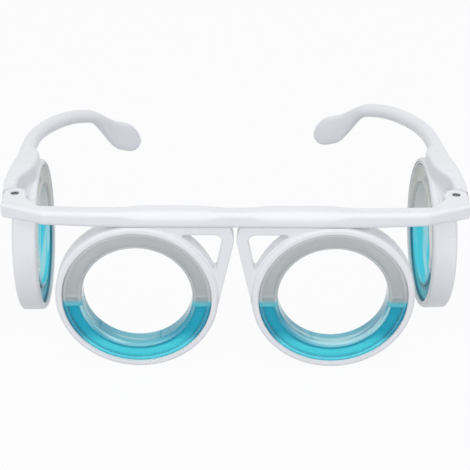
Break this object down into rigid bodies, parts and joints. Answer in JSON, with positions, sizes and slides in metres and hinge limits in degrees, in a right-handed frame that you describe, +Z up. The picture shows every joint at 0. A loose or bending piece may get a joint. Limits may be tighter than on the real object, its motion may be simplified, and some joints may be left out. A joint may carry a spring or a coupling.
{
  "type": "motion sickness glasses",
  "caption": "Lensless motion sickness spectacle frame with clear ring capsules of blue liquid before and beside the eyes and folding temples that curve round the head.",
  "frame": {"origin": "middle of the bounding box at the floor the rings stand on", "axes": "+X to the right as seen from the front, +Y from the front rings towards the ears, +Z up; millimetre source, metres in the row"},
  "size_m": [0.1519, 0.1293, 0.0583],
  "materials": {
    "white_frame": "glossy moulded white",
    "white_retainer": "glossy moulded white",
    "clear_capsule": "clear polished",
    "clear_plug": "clear, slightly frosted",
    "blue_liquid": "clear coloured liquid",
    "screw_steel": "blackened steel"
  },
  "bodies": {
    "front": {"brow_bar": "white_frame", "front_housing_left": "white_frame", "front_housing_right": "white_frame", "hinge_screw_left": "screw_steel", "hinge_screw_right": "screw_steel", "capsule_channel_front_left": "clear_capsule", "capsule_channel_front_right": "clear_capsule", "capsule_cover_front_left": "clear_capsule", "capsule_cover_front_right": "clear_capsule", "retainer_front_left": "white_retainer", "retainer_front_right": "white_retainer", "fill_plug_front_left": "clear_plug", "fill_plug_front_right": "clear_plug"},
    "temple_left": {"temple_left": "white_frame", "capsule_channel_side_left": "clear_capsule", "capsule_cover_side_left": "clear_capsule", "retainer_side_left": "white_retainer", "fill_plug_side_left": "clear_plug"},
    "temple_right": {"temple_right": "white_frame", "capsule_channel_side_right": "clear_capsule", "capsule_cover_side_right": "clear_capsule", "retainer_side_right": "white_retainer", "fill_plug_side_right": "clear_plug"},
    "liquid_front_left": {"liquid_front_left": "blue_liquid"},
    "liquid_front_right": {"liquid_front_right": "blue_liquid"},
    "liquid_side_left": {"liquid_side_left": "blue_liquid"},
    "liquid_side_right": {"liquid_side_right": "blue_liquid"}
  },
  "joints": [
    {"name": "temple_fold_left", "type": "hinge", "parent": "front", "child": "temple_left", "pos_m": [-0.06974, -0.05046, 0.05512], "axis": [0, 0, -1], "range_deg": [0, 60]},
    {"name": "temple_fold_right", "type": "hinge", "parent": "front", "child": "temple_right", "pos_m": [0.07166, -0.05046, 0.05512], "axis": [0, 0, 1], "range_deg": [-3.8, 33]},
    {"name": "liquid_turn_front_left", "type": "hinge", "parent": "front", "child": "liquid_front_left", "pos_m": [-0.03079, -0.05976, 0.0264], "axis": [0, -1, 0], "continuous": true},
    {"name": "liquid_turn_front_right", "type": "hinge", "parent": "front", "child": "liquid_front_right", "pos_m": [0.03271, -0.05976, 0.0264], "axis": [0, -1, 0], "continuous": true},
    {"name": "liquid_turn_side_left", "type": "hinge", "parent": "temple_left", "child": "liquid_side_left", "pos_m": [-0.06899, -0.02203, 0.0264], "axis": [-0.9997, -0.0262, 0], "continuous": true},
    {"name": "liquid_turn_side_right", "type": "hinge", "parent": "temple_right", "child": "liquid_side_right", "pos_m": [0.06898, -0.02124, 0.02736], "axis": [0.9992, 0.0401, 0], "continuous": true}
  ]
}
